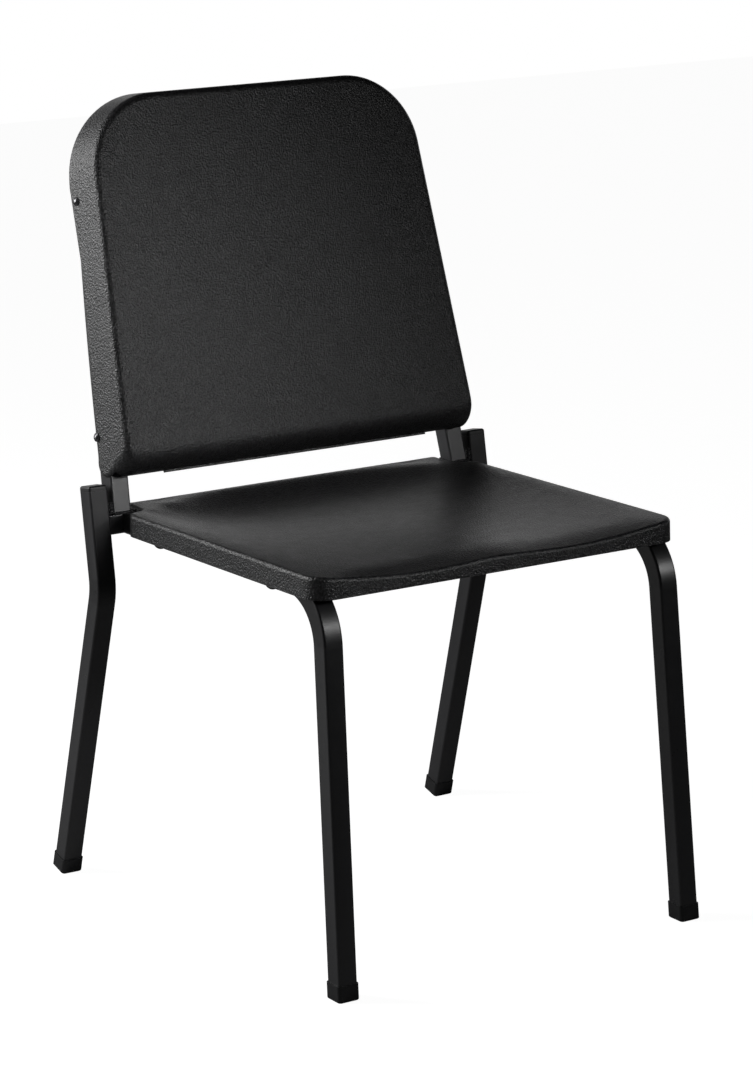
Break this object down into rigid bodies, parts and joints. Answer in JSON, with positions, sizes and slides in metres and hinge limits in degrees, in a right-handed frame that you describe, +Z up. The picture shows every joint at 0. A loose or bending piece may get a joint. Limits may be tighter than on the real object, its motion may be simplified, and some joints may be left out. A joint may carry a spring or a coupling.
{
  "type": "choir chair",
  "caption": "Armless stacking chair with a splayed square tube frame, a dished plastic seat shell and a deep rolled plastic back shell.",
  "frame": {"origin": "on the floor, at the middle of the chair's outer box", "axes": "+Z up, -Y towards the front of the seat, +X across the chair, to the right as the chair is seen from its front"},
  "size_m": [0.5184, 0.553, 0.8501],
  "materials": {
    "frame_tube": "satin powder coat",
    "shell_plastic": "fine pebbled grain",
    "foot_plastic": "satin",
    "screw_steel": "black, domed heads",
    "bumper_rubber": "matt"
  },
  "bodies": {
    "root": {"left_front_leg_and_rail": "frame_tube", "left_rear_leg": "frame_tube", "left_upright": "frame_tube", "left_front_foot_cap": "foot_plastic", "left_rear_foot_cap": "foot_plastic", "left_leg_top_plug": "foot_plastic", "right_front_leg_and_rail": "frame_tube", "right_rear_leg": "frame_tube", "right_upright": "frame_tube", "right_front_foot_cap": "foot_plastic", "right_rear_foot_cap": "foot_plastic", "right_leg_top_plug": "foot_plastic", "rear_cross_tube": "frame_tube", "front_cross_strap": "frame_tube", "seat_shell": "shell_plastic", "back_shell": "shell_plastic", "back_screws": "screw_steel", "seat_screws": "screw_steel", "seat_bumpers": "bumper_rubber"}
  },
  "joints": []
}
